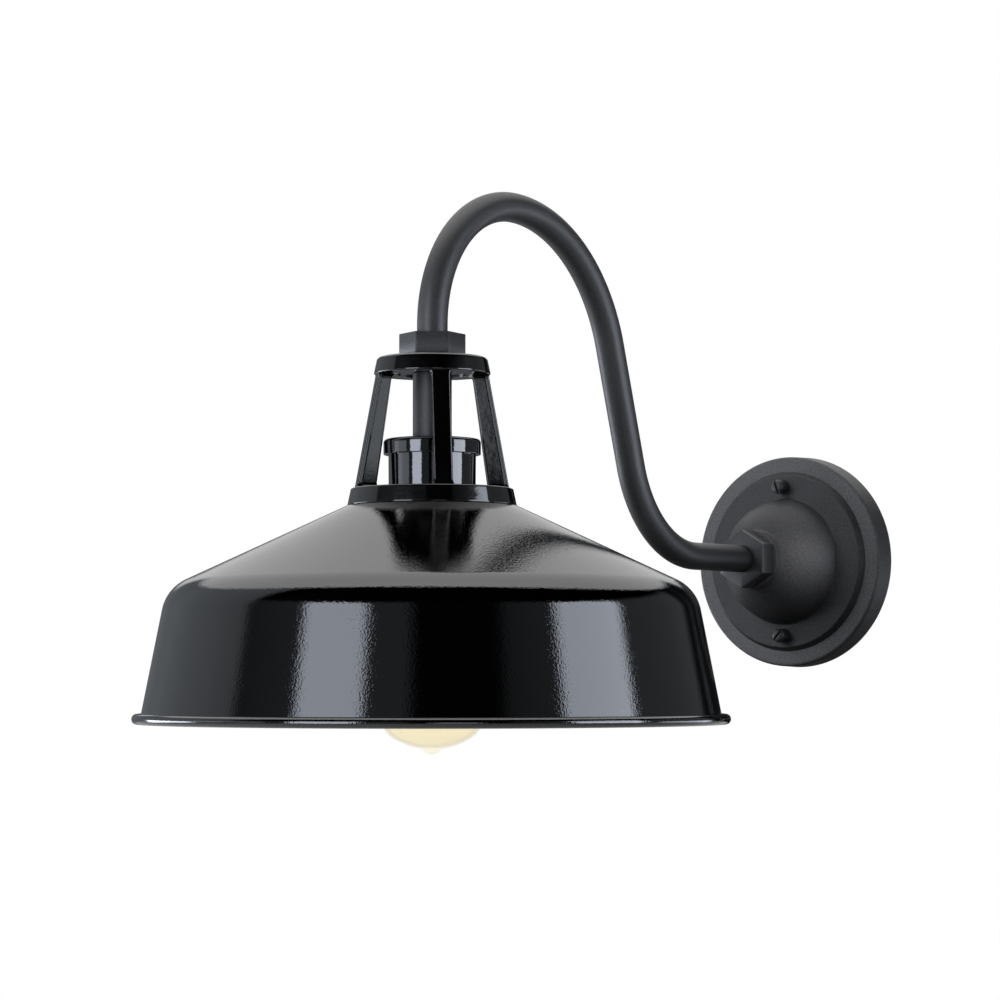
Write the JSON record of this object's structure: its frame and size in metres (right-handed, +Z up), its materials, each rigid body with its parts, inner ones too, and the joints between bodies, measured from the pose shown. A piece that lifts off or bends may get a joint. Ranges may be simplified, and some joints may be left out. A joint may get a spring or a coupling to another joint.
{
  "type": "gooseneck wall light",
  "caption": "Black gooseneck outdoor wall light with a round cast wall plate, a bent tube arm, an open cast cage and a wide spun-metal shade over a teardrop filament bulb.",
  "frame": {"origin": "centre of the back plate, on the wall plane", "axes": "+Y into the wall, so the light stands out along -Y; +Z up; +X to the right when facing the wall"},
  "size_m": [0.356, 0.598, 0.3476],
  "materials": {
    "black_enamel": "gloss",
    "grey_coat": "matte",
    "zinc_steel": "satin",
    "earth_green": "satin",
    "brass": "satin",
    "porcelain": "gloss",
    "rubber": "matte",
    "nylon": "matte",
    "amber_glass": "polished",
    "clear_glass": "polished",
    "black_glass": "gloss",
    "filament_wire": "satin"
  },
  "bodies": {
    "fixture": {"back_plate": "grey_coat", "wall_gasket": "rubber", "canopy": "grey_coat", "canopy_screws": "grey_coat", "mounting_strap": "zinc_steel", "ground_screw": "earth_green", "wall_hex_nut": "grey_coat", "arm_lock_washer": "zinc_steel", "arm_lock_nut": "zinc_steel", "wire_bushing": "nylon", "gooseneck_arm": "grey_coat", "cage_hex_nut": "grey_coat", "shade_cage": "black_enamel", "stem_sleeve": "grey_coat", "socket_nipple": "zinc_steel", "nipple_lock_nuts": "zinc_steel", "cup_lid": "black_enamel", "lid_gasket": "rubber", "socket_cup": "black_enamel", "socket_bracket": "zinc_steel", "bracket_screws": "zinc_steel", "lampholder_body": "porcelain", "lampholder_shell": "brass", "lampholder_contact": "brass", "terminal_screws": "brass", "shade": "black_enamel", "shade_clamp_ring": "zinc_steel", "shade_screws": "zinc_steel"},
    "bulb": {"bulb_glass": "amber_glass", "bulb_stem": "clear_glass", "filament": "filament_wire", "filament_supports": "filament_wire", "bulb_base": "brass", "bulb_insulator": "black_glass", "bulb_contact": "zinc_steel"}
  },
  "joints": [
    {"name": "bulb_draw", "type": "slide", "parent": "fixture", "child": "bulb", "axis": [0, 0, -1], "range_m": [0, 0.13]}
  ]
}
